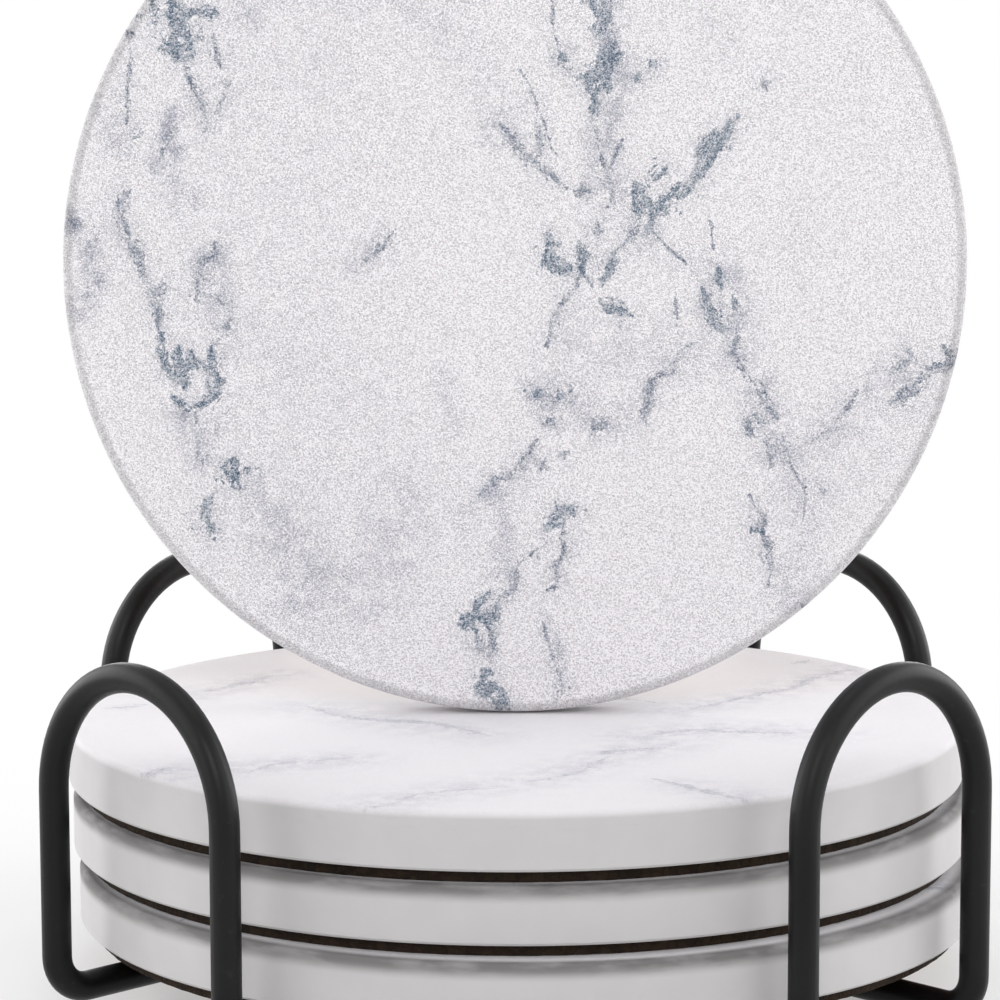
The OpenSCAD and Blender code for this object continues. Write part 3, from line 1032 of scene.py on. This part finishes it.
class COASTERS_OT_wire(bpy.types.Operator):
    """Gives the wire loops and their welds their black coat"""
    bl_idname = "coasters.finish_wire"
    bl_label = "Wire holder"

    def execute(self, context):
        settings = context.scene.coaster_set.wire
        coats = ((WIRE_LOOPS, coat_material("Black coat", settings, False)),
                 (WELDS, coat_material("Black coat on welds", settings, True)))
        for nodes, material in coats:
            for node in nodes:
                dress(frame["nodes"][node], material)
        return {"FINISHED"}


def softbox(name, location, size, watts):
    """Adds a square area lamp that shines at the lamps' target."""
    bpy.ops.object.light_add(type="AREA", location=location)
    lamp = bpy.context.object
    lamp.name = lamp.data.name = name
    lamp.data.size = size
    lamp.data.energy = watts
    lamp.rotation_euler = (Vector(LAMP_TARGET) - lamp.location).to_track_quat("-Z", "Y").to_euler()


def seen_rays(bench):
    """1 for rays that show the background: camera, glossy and transmission rays."""
    path = bench.add("LightPath", {})
    glossy = bench.larger(path["Is Glossy Ray"], path["Is Transmission Ray"])
    return bench.larger(path["Is Camera Ray"], glossy)


def light_room(scene, strength):
    """Even light from all round, which shows as white where it is seen."""
    world = bpy.data.worlds.new("Room")
    scene.world = world
    world.use_nodes = True
    world.node_tree.nodes.clear()
    bench = NodeBench(world.node_tree)
    lit, seen = (bench.add("Background", {"Color": WHITE, "Strength": s})[0] for s in (strength, 1.0))
    mixed = bench.add("MixShader", {0: seen_rays(bench), 1: lit, 2: seen})[0]
    bench.add("OutputWorld", {0: mixed})


def floor_material(settings):
    """Pale floor that keeps the object's shadow and goes over to white away from it."""
    material, bench, shader = new_material("Pale floor")
    place = bench.object_place()
    tone = bench.ease(bench.noise(place, 6.0), 0.3, 0.7, 0.0, 0.5)
    pale = bench.mix(tone, settings.floor, settings.cool_floor)
    for key, value in (("Base Color", pale), ("Roughness", 0.9), ("Specular IOR Level", 0.1)):
        bench.wire(value, shader.inputs[key])
    away = bench.add("VectorMath", {0: place}, operation="LENGTH")["Value"]
    white = bench.ease(away, FLOOR_SHADOW, FLOOR_WHITE, 0.40, 1.0)
    glow = bench.add("Emission", {"Color": WHITE, "Strength": 1.0})[0]
    share = bench.times(white, seen_rays(bench))
    mixed = bench.add("MixShader", {0: share, 1: shader.outputs[0], 2: glow})[0]
    bench.wire(mixed, material.node_tree.nodes["Material Output"].inputs["Surface"])
    return material


def place_camera(scene, settings):
    """Puts the camera at its eye, with its heading, pitch and roll."""
    bpy.ops.object.camera_add(location=settings.eye)
    camera = bpy.context.object
    heading, pitch, roll = settings.heading, settings.pitch, settings.roll
    level_part = math.cos(pitch)
    ahead = Vector((math.cos(heading) * level_part, math.sin(heading) * level_part, -math.sin(pitch)))
    level = ahead.cross(Vector((0, 0, 1))).normalized()
    upward = level.cross(ahead)
    right = math.cos(roll) * level + math.sin(roll) * upward
    above = math.cos(roll) * upward - math.sin(roll) * level
    turn = Matrix((right, above, -ahead)).transposed().to_4x4()
    camera.matrix_world = Matrix.Translation(settings.eye) @ turn
    camera.data.sensor_width = 36.0
    camera.data.lens = settings.lens
    camera.data.clip_start = 0.01
    camera.data.clip_end = 100.0
    scene.camera = camera


class COASTERS_OT_stage(bpy.types.Operator):
    """Adds the floor, the lamps and the camera"""
    bl_idname = "coasters.set_stage"
    bl_label = "Stage"

    def execute(self, context):
        scene = context.scene
        settings = scene.coaster_set.stage
        select_only()
        bpy.ops.mesh.primitive_plane_add(size=40.0, location=(0, 0, 0))
        floor = bpy.context.object
        floor.name = floor.data.name = "floor"
        dress(floor, floor_material(settings))
        for name, location, size, watts in SOFTBOXES:
            softbox(name, location, size, getattr(settings, watts))
        light_room(scene, settings.room_light)
        place_camera(scene, settings)
        scene.view_settings.view_transform = "Standard"
        return {"FINISHED"}


class COASTERS_PT_panel(bpy.types.Panel):
    """Lists the steps that make the set"""
    bl_idname = "COASTERS_PT_panel"
    bl_label = "Coaster set"
    bl_space_type = "VIEW_3D"
    bl_region_type = "UI"
    bl_category = "Coasters"

    def draw(self, context):
        for step in STEPS:
            self.layout.operator(step.bl_idname)
        settings = context.scene.coaster_set
        for part in (settings.ceramic, settings.cork, settings.wire, settings.stage):
            box = self.layout.box()
            for key in part.__annotations__:
                box.prop(part, key)


STEPS = (COASTERS_OT_ceramic, COASTERS_OT_cork, COASTERS_OT_adhesive, COASTERS_OT_wire, COASTERS_OT_stage)
GROUPS = (CeramicSettings, CorkSettings, WireSettings, StageSettings, CoasterSetSettings)


def register():
    for kind in (*GROUPS, *STEPS, COASTERS_PT_panel):
        bpy.utils.register_class(kind)
    bpy.types.Scene.coaster_set = bpy.props.PointerProperty(type=CoasterSetSettings)


def unregister():
    del bpy.types.Scene.coaster_set
    for kind in reversed((*GROUPS, *STEPS, COASTERS_PT_panel)):
        bpy.utils.unregister_class(kind)


def main():
    register()
    bpy.ops.coasters.make_ceramic()
    bpy.ops.coasters.make_cork()
    bpy.ops.coasters.finish_adhesive()
    bpy.ops.coasters.finish_wire()
    bpy.ops.coasters.set_stage()


if __name__ == "__main__":
    main()
